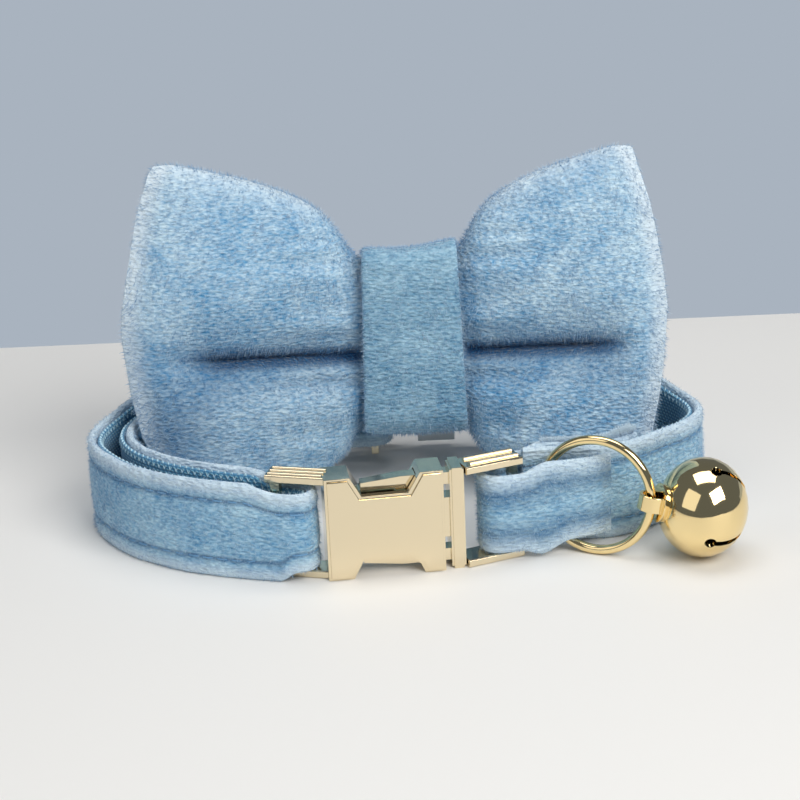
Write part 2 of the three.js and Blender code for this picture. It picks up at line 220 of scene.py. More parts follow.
def velvet_cloth(name, dark, light, pale):
    """Plush cloth: brushed patches, a fine nap and a soft sheen, darkened by painted shade and paled by a
    painted sheen where the mesh's attributes say.
    """
    material = bpy.data.materials.new(name)
    material.use_nodes = True
    nodes, links = material.node_tree.nodes, material.node_tree.links
    cloth = nodes["Principled BSDF"]
    cloth.inputs["Roughness"].default_value = 0.92
    cloth.inputs["Specular IOR Level"].default_value = 0.15
    cloth.inputs["Sheen Weight"].default_value = 0.55
    cloth.inputs["Sheen Roughness"].default_value = 0.38
    cloth.inputs["Sheen Tint"].default_value = tint(pale)
    place = nodes.new("ShaderNodeTexCoord")
    brushed = nodes.new("ShaderNodeTexNoise")
    brushed.inputs["Scale"].default_value = 75
    brushed.inputs["Detail"].default_value = 3
    brushed.inputs["Distortion"].default_value = 1.2
    nap = nodes.new("ShaderNodeTexNoise")
    nap.inputs["Scale"].default_value = 2000
    nap.inputs["Detail"].default_value = 4
    tuft = nodes.new("ShaderNodeTexVoronoi")
    tuft.inputs["Scale"].default_value = 1500
    comb_way = nodes.new("ShaderNodeMapping")
    comb_way.inputs["Scale"].default_value = (0.5, 0.7, 1.25)
    links.new(place.outputs["Object"], comb_way.inputs["Vector"])
    links.new(place.outputs["Object"], brushed.inputs["Vector"])
    for texture in (nap, tuft):
        links.new(comb_way.outputs["Vector"], texture.inputs["Vector"])
    both = nodes.new("ShaderNodeMath")
    both.operation = "MULTIPLY_ADD"
    both.inputs[1].default_value = 0.62
    links.new(nap.outputs["Fac"], both.inputs[0])
    lessen = nodes.new("ShaderNodeMath")
    lessen.operation = "MULTIPLY"
    lessen.inputs[1].default_value = 0.42
    links.new(brushed.outputs["Fac"], lessen.inputs[0])
    links.new(lessen.outputs[0], both.inputs[2])
    tones = nodes.new("ShaderNodeValToRGB")
    tones.color_ramp.elements[0].position = 0.33
    tones.color_ramp.elements[0].color = tint(dark)
    tones.color_ramp.elements[1].position = 0.66
    tones.color_ramp.elements[1].color = tint(light)
    links.new(both.outputs[0], tones.inputs["Fac"])
    # Painted shade: the colour is mixed towards dark blue by a per-vertex attribute set in the stitch grooves
    # and on the bow's crease.
    painted_shade = nodes.new("ShaderNodeAttribute")
    painted_shade.attribute_name = "painted_shade"
    painted_shade_mix = nodes.new("ShaderNodeMix")
    painted_shade_mix.data_type = "RGBA"
    painted_shade_mix.inputs["B"].default_value = tint("#1f4a78")
    links.new(painted_shade.outputs["Fac"], painted_shade_mix.inputs["Factor"])
    links.new(tones.outputs["Color"], painted_shade_mix.inputs["A"])
    # Painted sheen: the colour is mixed towards pale blue by a per-vertex attribute set along the strap's
    # rims and the bow's edges.
    painted_sheen = nodes.new("ShaderNodeAttribute")
    painted_sheen.attribute_name = "painted_sheen"
    painted_sheen_mix = nodes.new("ShaderNodeMix")
    painted_sheen_mix.data_type = "RGBA"
    painted_sheen_mix.inputs["B"].default_value = tint("#dfecf5")
    links.new(painted_sheen.outputs["Fac"], painted_sheen_mix.inputs["Factor"])
    links.new(painted_shade_mix.outputs["Result"], painted_sheen_mix.inputs["A"])
    links.new(painted_sheen_mix.outputs["Result"], cloth.inputs["Base Color"])
    rough = nodes.new("ShaderNodeBump")
    rough.inputs["Strength"].default_value = 0.7
    rough.inputs["Distance"].default_value = 0.0005
    height = nodes.new("ShaderNodeMath")
    height.operation = "ADD"
    links.new(nap.outputs["Fac"], height.inputs[0])
    links.new(tuft.outputs["Distance"], height.inputs[1])
    links.new(height.outputs[0], rough.inputs["Height"])
    links.new(rough.outputs["Normal"], cloth.inputs["Normal"])
    return material


def pile_fibre(name, root, tip):
    """The pile's own fibres: patchy in tone as brushed, with painted shade darkening them towards the root,
    so they are paler at the tip.
    """
    material = bpy.data.materials.new(name)
    material.use_nodes = True
    nodes, links = material.node_tree.nodes, material.node_tree.links
    fibre = nodes["Principled BSDF"]
    fibre.inputs["Roughness"].default_value = 0.7
    fibre.inputs["Specular IOR Level"].default_value = 0.2
    fibre.inputs["Sheen Weight"].default_value = 0.4
    tone_and_painted_shade = nodes.new("ShaderNodeAttribute")
    tone_and_painted_shade.attribute_name = "tone_and_painted_shade"
    ramp = nodes.new("ShaderNodeValToRGB")
    ramp.color_ramp.elements[0].color = tint(root)
    ramp.color_ramp.elements[1].color = tint(tip)
    links.new(tone_and_painted_shade.outputs["Fac"], ramp.inputs["Fac"])
    links.new(ramp.outputs["Color"], fibre.inputs["Base Color"])
    return material


NEEDLE_FACES = ([0, 1, 3], [1, 2, 3], [2, 0, 3], [2, 1, 0])


def grow_pile(skin, name, count, length, width, comb, seed, deep=None):
    """Stands short fibres over a skin, each one a closed needle, combed by a field of directions."""
    mesh = skin.data
    mesh.calc_loop_triangles()
    points = np.zeros(len(mesh.vertices) * 3)
    mesh.vertices.foreach_get("co", points)
    points = points.reshape(-1, 3) / MM
    normals = np.zeros(len(mesh.vertices) * 3)
    mesh.vertices.foreach_get("normal", normals)
    normals = normals.reshape(-1, 3)
    corner = np.zeros(len(mesh.loop_triangles) * 3, int)
    mesh.loop_triangles.foreach_get("vertices", corner)
    corner = corner.reshape(-1, 3)
    r = np.random.default_rng(seed)
    a, b, c = (points[corner[:, k]] for k in range(3))
    size = np.linalg.norm(np.cross(b - a, c - a), axis=1)
    pick = r.choice(len(size), count, p=size / size.sum())
    u, v = r.random((2, count, 1))
    u, v = np.where(u + v > 1, 1 - u, u), np.where(u + v > 1, 1 - v, v)
    base = a[pick] + u * (b[pick] - a[pick]) + v * (c[pick] - a[pick])
    na, nb, nc = (normals[corner[pick][:, k]] for k in range(3))
    up = na + u * (nb - na) + v * (nc - na)
    up /= np.linalg.norm(up, axis=1)[:, None]
    lie = comb(base, up, r)
    way = up + lie
    way /= np.linalg.norm(way, axis=1)[:, None]
    long = length * r.uniform(0.55, 1.25, (count, 1))
    across = np.cross(way, r.normal(size=(count, 3)))
    across /= np.linalg.norm(across, axis=1)[:, None]
    along = np.cross(way, across)
    foot = base - way * 0.12
    verts = np.zeros((count, 4, 3))
    for k in range(3):
        t = 2 * math.pi * k / 3
        verts[:, k] = foot + width * (math.cos(t) * across + math.sin(t) * along)
    verts[:, 3] = base + way * long
    verts[:, :, 2] = np.maximum(verts[:, :, 2], 0.02)
    first = np.arange(count)[:, None] * 4
    faces = np.concatenate([first + f for f in NEEDLE_FACES], axis=1).reshape(-1, 3)
    made = bpy.data.meshes.new(name)
    made.from_pydata((verts.reshape(-1, 3) * MM).tolist(), [], faces.tolist())
    patch = ripple(base[:, 0] + 1.3 * base[:, 1], base[:, 2] * 1.6, seed + 5, 12, 0.08, 0.7)
    shade_of = 0.6 + 0.15 * patch + r.normal(0, 0.24, count)
    # Painted shade: fibres darkened where the skin is marked as shaded.
    if deep is not None:
        shade_of = shade_of - 0.75 * deep(base)
    shade_of = np.clip(shade_of, 0, 1)
    # Painted shade at the foot of the pile: the three root corners of each fibre get 0.35 of its tone.
    tone_and_painted_shade = np.column_stack([shade_of * 0.35] * 3 + [shade_of]).ravel()
    made.attributes.new("tone_and_painted_shade", "FLOAT", "POINT").data.foreach_set("value", tone_and_painted_shade.astype(np.float32))
    made.update()
    piece = bpy.data.objects.new(name, made)
    bpy.context.scene.collection.objects.link(piece)
    return piece


velvet = velvet_cloth("velvet_strap", "#468abb", "#b8dcee", "#e4eef5")
fibre = pile_fibre("velvet_pile", "#2b78ae", "#e2f2f9")
NEAR, FAR = PLY_GAP / 2, PLY_GAP / 2 + VELVET_PLY
STITCH_IN = 3.3                       # stitch row to the strap's edge
VELVET_SECTION = [
    (NEAR, 8.5), (NEAR, 3.4), (NEAR, 0.85), (NEAR + 0.12, 0.35), (NEAR + 0.42, 0.06), (NEAR + 0.8, 0.0),
    (FAR - 0.42, 0.08), (FAR - 0.14, 0.3), (FAR, 0.7), (FAR + 0.06, 1.3), (FAR + 0.05, 2.1),
    (FAR - 0.04, 2.75),
    (FAR - 0.22, STITCH_IN - 0.2), (FAR - 0.3, STITCH_IN), (FAR - 0.22, STITCH_IN + 0.2), (FAR - 0.03, 3.95),
    (FAR + 0.07, 4.7), (FAR + 0.1, 5.8), (FAR + 0.12, 7.2), (FAR + 0.12, 8.5),
]


def strap_uneven(run, z, s):
    """Small hollows between the stitches and a slow waviness of the plush."""
    if s < NEAR + 0.3:
        return 0
    pucker = 0.05 * np.sin(2 * math.pi * run / 2.6) * np.exp(-((z % 17 - 8.5) / 6.2) ** 8)
    return 0.08 * ripple(run, z, 3, 12, 0.2, 1.4) + pucker - 0.04


LINE = strap_line(0.45)
low, high = strap_edges(LINE)
off = np.hypot(LINE[:, 0] + 0.6, LINE[:, 1] - 2.5)
front = (LINE[:, 1] < 9) & (LINE[:, 0] < 0)
puffed = (
    np.where(front, 1.65 * (1 - ease(14.8, 17.6, off)), low),
    np.where(front, STRAP_HIGH - 1.5 * (1 - ease(16.5, 23.5, off)), high),
)
strap = carry("strap_velvet_face", LINE, (low, high), VELVET_SECTION, strap_uneven, puffed)
dress(strap, velvet, "velvet", "strap_velvet")


def comb_along(base, up, r):
    """Nap that lies down and along the strap, with brushed patches."""
    lie = np.zeros_like(base)
    patch = ripple(base[:, 0] + base[:, 1], base[:, 2], 21, 10, 0.1, 0.5)
    lie[:, 2] = -0.55 - 0.5 * patch
    lie[:, 0] = 0.35 * ripple(base[:, 0], base[:, 2], 22, 10, 0.1, 0.6)
    return lie + r.normal(0, 0.28, base.shape)


strap_pile = grow_pile(strap, "strap_pile", 49000, 0.62, 0.045, comb_along, 11)
dress(strap_pile, fibre, "velvet")

# Webbing ply: a flat woven tape sewn to the inside of the velvet, with a
# zigzag binding thread along both of its edges.
def woven_tape(name, dark, light, ribs):
    material = bpy.data.materials.new(name)
    material.use_nodes = True
    nodes, links = material.node_tree.nodes, material.node_tree.links
    tape = nodes["Principled BSDF"]
    tape.inputs["Roughness"].default_value = 0.82
    tape.inputs["Sheen Weight"].default_value = 0.25
    where = nodes.new("ShaderNodeUVMap")
    where.uv_map = "strip"
    lean = nodes.new("ShaderNodeMapping")
    lean.inputs["Rotation"].default_value[2] = math.radians(35)
    links.new(where.outputs["UV"], lean.inputs["Vector"])
    warp = nodes.new("ShaderNodeTexWave")
    warp.inputs["Scale"].default_value = ribs
    warp.inputs["Distortion"].default_value = 0.6
    links.new(lean.outputs["Vector"], warp.inputs["Vector"])
    weft = nodes.new("ShaderNodeTexWave")
    weft.bands_direction = "Y"
    weft.inputs["Scale"].default_value = ribs * 1.3
    links.new(where.outputs["UV"], weft.inputs["Vector"])
    cross = nodes.new("ShaderNodeMath")
    cross.operation = "MULTIPLY"
    links.new(warp.outputs["Fac"], cross.inputs[0])
    links.new(weft.outputs["Fac"], cross.inputs[1])
    tones = nodes.new("ShaderNodeValToRGB")
    tones.color_ramp.elements[0].color = tint(dark)
    tones.color_ramp.elements[1].color = tint(light)
    links.new(cross.outputs[0], tones.inputs["Fac"])
    links.new(tones.outputs["Color"], tape.inputs["Base Color"])
    weave = nodes.new("ShaderNodeBump")
    weave.inputs["Strength"].default_value = 0.8
    weave.inputs["Distance"].default_value = 0.0002
    links.new(cross.outputs[0], weave.inputs["Height"])
    links.new(weave.outputs["Normal"], tape.inputs["Normal"])
    return material


def plain_thread(name, colour):
    material = bpy.data.materials.new(name)
    material.use_nodes = True
    nodes, links = material.node_tree.nodes, material.node_tree.links
    thread = nodes["Principled BSDF"]
    thread.inputs["Base Color"].default_value = tint(colour)
    thread.inputs["Roughness"].default_value = 0.6
    place = nodes.new("ShaderNodeTexCoord")
    twist = nodes.new("ShaderNodeTexNoise")
    twist.inputs["Scale"].default_value = 4000
    links.new(place.outputs["Object"], twist.inputs["Vector"])
    strands = nodes.new("ShaderNodeBump")
    strands.inputs["Strength"].default_value = 0.5
    strands.inputs["Distance"].default_value = 0.0001
    links.new(twist.outputs["Fac"], strands.inputs["Height"])
    links.new(strands.outputs["Normal"], thread.inputs["Normal"])
    return material


WEB_NEAR, WEB_FAR = -PLY_GAP / 2, -PLY_GAP / 2 - WEBBING_PLY
WEBBING_SECTION = [
    (WEB_NEAR, 8.5), (WEB_NEAR, 0.3), (WEB_NEAR - 0.12, 0.06), (WEB_NEAR - 0.42, 0.0), (WEB_FAR + 0.12, 0.08),
    (WEB_FAR, 0.35), (WEB_FAR, 2.5), (WEB_FAR, 5.5), (WEB_FAR, 8.5),
]
webbing = carry("webbing_tape", LINE, strap_edges(LINE, 0.75), WEBBING_SECTION)
dress(webbing, woven_tape("webbing_blue", "#3a7ca6", "#7db9d2", 420), "webbing", "strap_webbing")


def thread_tube(points, radius, sides=5):
    """Corners and faces of a closed tube of thread through points in millimetres."""
    p = np.array(points, float)
    way = np.gradient(p, axis=0)
    way /= np.linalg.norm(way, axis=1)[:, None]
    across = np.cross(way, (0.13, 0.21, 1.0))
    across /= np.linalg.norm(across, axis=1)[:, None]
    rise = np.cross(across, way)
    a = np.arange(sides) * 2 * math.pi / sides
    turned = np.cos(a)[None, :, None] * across[:, None] + np.sin(a)[None, :, None] * rise[:, None]
    ring = p[:, None] + radius * turned
    n = len(p)
    faces = [(i * sides + k, i * sides + (k + 1) % sides,
              (i + 1) * sides + (k + 1) % sides, (i + 1) * sides + k)
             for i in range(n - 1) for k in range(sides)]
    faces += [tuple(range(sides))[::-1], tuple((n - 1) * sides + k for k in range(sides))]
    return ring.reshape(-1, 3), faces


def gather(name, parts):
    """One mesh of many closed tubes."""
    verts, faces, first = [], [], 0
    for points, ends in parts:
        verts.append(points)
        faces += [tuple(first + k for k in f) for f in ends]
        first += len(points)
    mesh = bpy.data.meshes.new(name)
    mesh.from_pydata((np.vstack(verts) * MM).tolist(), [], faces)
    mesh.update()
    piece = bpy.data.objects.new(name, mesh)
    bpy.context.scene.collection.objects.link(piece)
    face_outwards(piece)
    shade(piece, 60)
    return piece


def on_line(line, run, at, offset):
    """Plan points beside a line at given lengths along it."""
    ahead = np.gradient(line, axis=0)
    ahead /= np.linalg.norm(ahead, axis=1)[:, None]
    side = np.column_stack([ahead[:, 1], -ahead[:, 0]])
    spot = line + side * offset
    return np.column_stack([np.interp(at, run, spot[:, k]) - CAD_SHIFT[k] for k in (0, 1)])


RUN = np.concatenate([[0], np.cumsum(np.linalg.norm(np.diff(LINE, axis=0), axis=1))])
low, high = strap_edges(LINE, 0.75)
bindings = []
for edge, sign in ((high, 1), (low, -1)):
    at = np.arange(0.6, RUN[-1] - 0.6, 0.62)
    swing = np.where(np.arange(len(at)) % 2, 0.14, -0.85)
    height = np.interp(at, RUN, edge) + sign * swing
    plan = on_line(LINE, RUN, at, (WEB_NEAR + WEB_FAR) / 2 - 0.05)
    deep = on_line(LINE, RUN, at, WEB_FAR - 0.06)
    inner = (np.arange(len(at)) % 2 == 0)[:, None]
    bindings.append(thread_tube(np.column_stack([np.where(inner, deep, plan), height]), 0.17))
binding = gather("webbing_zigzag_edge", bindings)
dress(binding, plain_thread("binding_thread", "#b9dcea"), "webbing")

# Strap stitching: two rows of thread sunk into the velvet, each stitch a
# short dash that dips into the cloth at both ends.
STITCH_PITCH = 2.6
STITCH_LONG = 1.9


def stitch_row(line, run, starts, offset, edge, inset, sign, radius=0.16):
    """One row of stitches on the strap's face, each one's ends sunk into the cloth."""
    rows = []
    for start in starts:
        at = start + np.linspace(0, STITCH_LONG, 7)
        sink = 0.30 * np.abs(np.linspace(-1, 1, 7)) ** 4
        plan = np.vstack([on_line(line, run, at[k:k + 1], offset - math.copysign(sink[k], offset))
                          for k in range(7)])
        height = np.interp(at, run, edge) + sign * inset
        rows.append(thread_tube(np.column_stack([plan, height]), radius, 6))
    return rows


low, high = strap_edges(LINE)
starts = np.arange(1.4, RUN[-1] - 6, STITCH_PITCH)
stitches = stitch_row(LINE, RUN, starts, FAR - 0.22, low, STITCH_IN, 1)
stitches += stitch_row(LINE, RUN, starts, FAR - 0.22, high, STITCH_IN, -1)
sewing = gather("strap_stitching", stitches)
dress(sewing, plain_thread("sewing_thread", "#6d9fc8"), "velvet")

# End tab: a doubled velvet strip folded round the clip's crossbar, its front
# leg sewn down over the ring and its back leg left with a raw plush end.
TAB_LINE = [
    (36.7, 9.6), (34.2, 8.25), (31.0, 7.2), (26.0, 5.95), (21.0, 4.75), (18.0, 4.3), (16.2, 5.0),
    (15.3, 6.9), (15.6, 9.6), (17.0, 12.6), (19.6, 14.8), (23.0, 15.5), (28.0, 15.7),
    (33.0, 15.65), (36.2, 15.75), (39.0, 16.6), (42.2, 18.9),
]
TAB_HALF = VELVET_PLY / 2
tab_line = line_through(TAB_LINE, 0.4)
tab_run = np.concatenate([[0], np.cumsum(np.linalg.norm(np.diff(tab_line, axis=0), axis=1))])
tab_drawn = 1 - ease(21.5, 26.5, tab_line[:, 0])
tab_front = np.where(tab_line[:, 1] < 10.2, ease(23.5, 30.5, tab_line[:, 0]), 0)
tab_low = 1.65 * tab_drawn + 2.5 * tab_front
tab_high = STRAP_HIGH - 1.65 * tab_drawn - 0.3 * tab_front
TAB_SECTION = [
    (TAB_HALF, 8.5), (TAB_HALF, 3.4), (TAB_HALF - 0.02, 0.8), (TAB_HALF - 0.2, 0.3), (TAB_HALF - 0.5, 0.04),
    (0.5 - TAB_HALF, 0.04), (0.2 - TAB_HALF, 0.3), (-TAB_HALF, 0.8), (-TAB_HALF - 0.05, 1.6),
    (-TAB_HALF + 0.02, 2.7), (-TAB_HALF + 0.2, 3.1), (-TAB_HALF + 0.28, 3.3), (-TAB_HALF + 0.2, 3.5),
    (-TAB_HALF, 4.0), (-TAB_HALF - 0.08, 5.4),
    (-TAB_HALF - 0.1, 7.0), (-TAB_HALF - 0.1, 8.5),
]
tab = carry("tab_velvet_face", tab_line, (tab_low, tab_high), [(-s, d) for s, d in TAB_SECTION],
            lambda run, z, s: 0.06 * ripple(run, z, 8, 12, 0.2, 1.4) if s > 0.4 else 0, (tab_low, tab_high))
dress(tab, velvet, "velvet", "end_tab")
tab_pile = grow_pile(tab, "tab_pile", 9000, 0.62, 0.045, comb_along, 12)
dress(tab_pile, fibre, "velvet")
tab_starts = np.arange(0.6, 22.5, STITCH_PITCH)
tab_stitches = stitch_row(tab_line, tab_run, tab_starts, TAB_HALF - 0.2, tab_low, STITCH_IN, 1)
tab_stitches += stitch_row(tab_line, tab_run, tab_starts, TAB_HALF - 0.2, tab_high, STITCH_IN, -1)
tab_sewing = gather("tab_stitching", tab_stitches)
dress(tab_sewing, bpy.data.materials["sewing_thread"], "velvet")

# Raw plush end of the tab's back leg: loose pale pile along its top edge.
TUFT_FIBRES = 3200
picks = np.random.default_rng(77)
tuft_run = np.sort(tab_run[-1] - picks.uniform(0.2, 17, TUFT_FIBRES))
tuft_plan = on_line(tab_line, tab_run, tuft_run, 0.0)
tuft_top = np.interp(tuft_run, tab_run, tab_high)
root = np.column_stack([tuft_plan + picks.uniform(-0.55, 0.55, (TUFT_FIBRES, 2)), tuft_top - 0.15])
grow = 0.7 + 1.1 * np.exp(-((tab_run[-1] - tuft_run - 2.5) / 2.6) ** 2)
lean = picks.normal(0, 0.45, (TUFT_FIBRES, 3)) * (1, 1, 0.4) + (0.1, 0, 1)
lean /= np.linalg.norm(lean, axis=1)[:, None]
tip = root + lean * (grow * picks.uniform(0.5, 1.2, TUFT_FIBRES))[:, None]
spread = [(0.06, 0, 0), (-0.03, 0.052, 0), (-0.03, -0.052, 0)]
verts = np.stack([root + spread[0], root + spread[1], root + spread[2], tip], axis=1).reshape(-1, 3)
first = np.arange(TUFT_FIBRES)[:, None] * 4
faces = np.concatenate([first + f for f in NEEDLE_FACES], axis=1).reshape(-1, 3)
mesh = bpy.data.meshes.new("tab_raw_end")
mesh.from_pydata((verts * MM).tolist(), [], faces.tolist())
# Painted shade at the roots: root corners at half the tips' tone.
mesh.attributes.new("tone_and_painted_shade", "FLOAT", "POINT").data.foreach_set(
    "value", np.tile([0.5, 0.5, 0.5, 1.0], TUFT_FIBRES).astype(np.float32))
tuft = bpy.data.objects.new("tab_raw_end", mesh)
bpy.context.scene.collection.objects.link(tuft)
dress(tuft, fibre, "velvet")

# Buckle: two polished castings, plated pale gold, clipped together.  Their
# edges are eased as a casting's are after tumbling.
def gold_plate(name, colour, rough):
    material = bpy.data.materials.new(name)
    material.use_nodes = True
    nodes, links = material.node_tree.nodes, material.node_tree.links
    gold = nodes["Principled BSDF"]
    gold.inputs["Metallic"].default_value = 1.0
    gold.inputs["Base Color"].default_value = tint(colour)
    place = nodes.new("ShaderNodeTexCoord")
    cloud = nodes.new("ShaderNodeTexNoise")
    cloud.inputs["Scale"].default_value = 160
    cloud.inputs["Detail"].default_value = 5
    links.new(place.outputs["Object"], cloud.inputs["Vector"])
    polish = nodes.new("ShaderNodeMapRange")
    polish.inputs["To Min"].default_value = rough * 0.7
    polish.inputs["To Max"].default_value = rough * 1.5
    links.new(cloud.outputs["Fac"], polish.inputs["Value"])
    links.new(polish.outputs["Result"], gold.inputs["Roughness"])
    waver = nodes.new("ShaderNodeTexNoise")
    waver.inputs["Scale"].default_value = 300
    links.new(place.outputs["Object"], waver.inputs["Vector"])
    skin = nodes.new("ShaderNodeBump")
    skin.inputs["Strength"].default_value = 0.12
    skin.inputs["Distance"].default_value = 0.0002
    links.new(waver.outputs["Fac"], skin.inputs["Height"])
    links.new(skin.outputs["Normal"], gold.inputs["Normal"])
    return material


def eased_casting(node, name, ease_mm, segments=2):
    """A copy of a casting with its edges rounded over."""
    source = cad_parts[node]
    piece = source.copy()
    piece.data = source.data.copy()
    for key in list(piece.keys()):
        del piece[key]
    piece.name = piece.data.name = name
    piece.parent = None
    bpy.context.scene.collection.objects.link(piece)
    bpy.ops.object.select_all(action="DESELECT")
    piece.select_set(True)
    bpy.context.view_layer.objects.active = piece
    if piece.data.has_custom_normals:
        bpy.ops.mesh.customdata_custom_splitnormals_clear()
    bpy.ops.object.mode_set(mode="EDIT")
    bpy.ops.mesh.select_all(action="SELECT")
    bpy.ops.mesh.remove_doubles(threshold=0.00002)
    bpy.ops.mesh.dissolve_limited(angle_limit=math.radians(2))
    bpy.ops.object.mode_set(mode="OBJECT")
    bevel = piece.modifiers.new("eased", "BEVEL")
    bevel.width = ease_mm * MM
    bevel.segments = segments
    bevel.limit_method = "ANGLE"
    bevel.angle_limit = math.radians(28)
    bevel.harden_normals = False
    bpy.ops.object.modifier_apply(modifier="eased")
    bpy.ops.object.shade_smooth_by_angle(angle=math.radians(32))
    flat = piece.modifiers.new("flat", "WEIGHTED_NORMAL")
    flat.keep_sharp = True
    flat.weight = 90
    bpy.ops.object.modifier_apply(modifier="flat")
    piece.select_set(False)
    return piece


buckle_gold = gold_plate("buckle_gold", "#e9dabb", 0.10)
body = eased_casting("buckle_body", "buckle_plate", 0.22)
dress(body, buckle_gold, "gold", "buckle_body")
clip = eased_casting("buckle_clip", "buckle_prongs", 0.22)
dress(clip, buckle_gold, "gold", "buckle_clip")

# Ribs along the frames' rails, cast in: three on the strap's side, two on the
# tab's, on the top and the bottom rail alike.
def rail_ribs(name, start, end, offsets, radius):
    """Half-sunk round ribs along a rail, on its outer face."""
    start, end = np.array(start), np.array(end)
    ahead = (end - start) / np.linalg.norm(end - start)
    side = np.array([-ahead[1], ahead[0]])
    rods = []
    for face in (17.8 - 0.08, 0.1 + radius - 0.02):
        for o in offsets:
            a, b = start + side * o + ahead * 0.5, end + side * o - ahead * 0.35
            path = [(*(a + (b - a) * t - CAD_SHIFT), face) for t in (0, 0.02, 0.5, 0.98, 1)]
            rods.append(thread_tube(path, radius, 10))
    piece = gather(name, rods)
    dress(piece, buckle_gold, "gold")


rail_ribs("strap_rail_ribs", (-9.9, 2.53), (-19.5, 5.07), (-1.35, 0.0, 1.35), 0.42)
rail_ribs("tab_rail_ribs", (12.4, 4.8), (21.2, 8.46), (-1.2, 1.2), 0.55)

# Ring: a bent and closed brass wire, plated gold.
ring_gold = gold_plate("ring_gold", "#f5dda6", 0.06)
RING_RADIUS, RING_WIRE = 9.45, 0.8
RING_AT = Vector((34.3 - CAD_SHIFT[0], 6.8 - CAD_SHIFT[1], 10.234)) * MM
bpy.ops.mesh.primitive_torus_add(major_radius=RING_RADIUS * MM, minor_radius=RING_WIRE * MM,
                                 major_segments=96, minor_segments=20)
ring = bpy.context.object
ring.name = ring.data.name = "bell_ring_wire"
ring.data.transform(Matrix.Translation(RING_AT) @ Matrix.Rotation(math.radians(-25), 4, "Z")
                    @ Matrix.Rotation(math.radians(-5), 4, "X") @ Matrix.Rotation(math.radians(90), 4, "X"))
bpy.ops.object.shade_smooth()
dress(ring, ring_gold, "gold", "bell_ring")

# Bell: two pressed brass cups rolled together, slit crosswise at the outer
# pole with a round hole at the end of each slit, on a strip loop.
bell = eased_casting("bell", "round_bell", 0.08, 1)
dress(bell, ring_gold, "gold", "bell")

# Slider: an oval gold frame with a middle bar, at the back of the strap.
slider = eased_casting("slider", "oval_slider", 0.3)
dress(slider, buckle_gold, "gold", "slider")

# Bow: two lobes of padded velvet drawn in at the waist, leaning back.
BOW_AT = np.array((5.2 - CAD_SHIFT[0], 41.7 - CAD_SHIFT[1], 25.6))
BOW_LEAN = math.radians(15)
# Height above and below the crease, and half the thickness, by share of a wing;
# then how far each wing reaches at a height.
UP = [(0, 16.2), (0.19, 16.4), (0.28, 23.4), (0.33, 26), (0.45, 28.9), (0.6, 31.4), (0.77, 33.3),
      (0.95, 35.0), (1, 34.4)]
DOWN = [(0, 12.2), (0.2, 12.4), (0.28, 18.2), (0.45, 23.8), (0.75, 27.2), (0.95, 28.2), (1, 27.2)]
THICK = [(0, 5.7), (0.2, 5.8), (0.27, 7.6), (0.45, 9.2), (0.7, 8.6), (0.88, 6.4), (0.97, 3.8), (1, 1.9)]
REACH_LEFT = [(-27, 44.0), (-18, 46.0), (-13, 48.4), (-5, 50.0), (5, 51.1), (9, 50.8), (17, 49.2),
              (26, 47.4), (33, 45.1), (36, 43.3)]
REACH_RIGHT = [(-27, 39.4), (-18, 41.0), (-10, 42.9), (-4, 43.9), (6, 45.0), (12, 44.5), (19, 43.5),
               (25, 42.4), (30, 40.9), (34, 39.9), (36, 38.7)]


def table(rows, at):
    return np.interp(at, [a for a, _ in rows], [b for _, b in rows])


def soft_table(rows, at, blur=0.03):
    return sum(w * table(rows, np.clip(at + d * blur, 0, 1)) for d, w in
               ((-2, 0.1), (-1, 0.2), (0, 0.4), (1, 0.2), (2, 0.1)))


def from_bow(p):
    """From the leaning bow's own axes to the collar's, in millimetres."""
    x, y, z = p[..., 0], p[..., 1], p[..., 2]
    return BOW_AT + np.stack([x, y * math.cos(BOW_LEAN) + z * math.sin(BOW_LEAN),
                              -y * math.sin(BOW_LEAN) + z * math.cos(BOW_LEAN)], axis=-1)


ACROSS, AROUND = 220, 260
even = np.linspace(-1, 1, ACROSS)[:, None]
share = np.sin(even * math.pi / 2) * 0.35 + even * 0.65
turn = np.linspace(0, 2 * math.pi, AROUND, endpoint=False)[None, :]
out = np.abs(share)
up, down, thick = soft_table(UP, out), soft_table(DOWN, out), soft_table(THICK, out)
s, c = np.sin(turn), np.cos(turn)
z = np.sign(s) * np.abs(s) ** 0.8 * np.where(s > 0, up, down)
reach = np.where(share < 0, table(REACH_LEFT, z), table(REACH_RIGHT, z))
crease = 0.75 * ease(0.05, 0.26, out) * (1 - ease(0.68, 0.95, out))
wide_fold, sharp_fold = 0.55 * np.exp(-(z / 6.0) ** 2), 0.6 * np.exp(-(z / 1.3) ** 2)
fold = (wide_fold + sharp_fold) * np.where(c > 0, crease, crease * 0.7)
gathers = 0.5 * ease(0.16, 0.26, out) * (1 - ease(0.3, 0.62, out)) * np.sin(z * 1.15 + 2 * np.sin(z * 0.31))
y = -np.sign(c) * np.abs(c) ** 0.62 * (thick * (1 - fold) + gathers * np.abs(c)) - 6.5 * out ** 2
x = share * reach
lump = ripple(x, z + 40 * np.sign(c), 31, 14, 0.06, 0.35)
y = y - np.sign(c) * np.abs(c) ** 0.6 * 0.45 * lump * ease(0.25, 0.5, out)
grid = from_bow(np.stack(np.broadcast_arrays(x, y, z), axis=-1))
grid[..., 2] = np.maximum(grid[..., 2], 0.05)
faces = [(i * AROUND + k, i * AROUND + (k + 1) % AROUND,
          (i + 1) * AROUND + (k + 1) % AROUND, (i + 1) * AROUND + k)
         for i in range(ACROSS - 1) for k in range(AROUND)]
faces += [tuple(range(AROUND))[::-1], tuple((ACROSS - 1) * AROUND + k for k in range(AROUND))]
mesh = bpy.data.meshes.new("bow_wings")
mesh.from_pydata((grid.reshape(-1, 3) * MM).tolist(), [], faces)
bow = bpy.data.objects.new("bow_wings", mesh)
bpy.context.scene.collection.objects.link(bow)
face_outwards(bow)
shade(bow, 70)
bow_axis = np.array((0, math.sin(BOW_LEAN), math.cos(BOW_LEAN)))


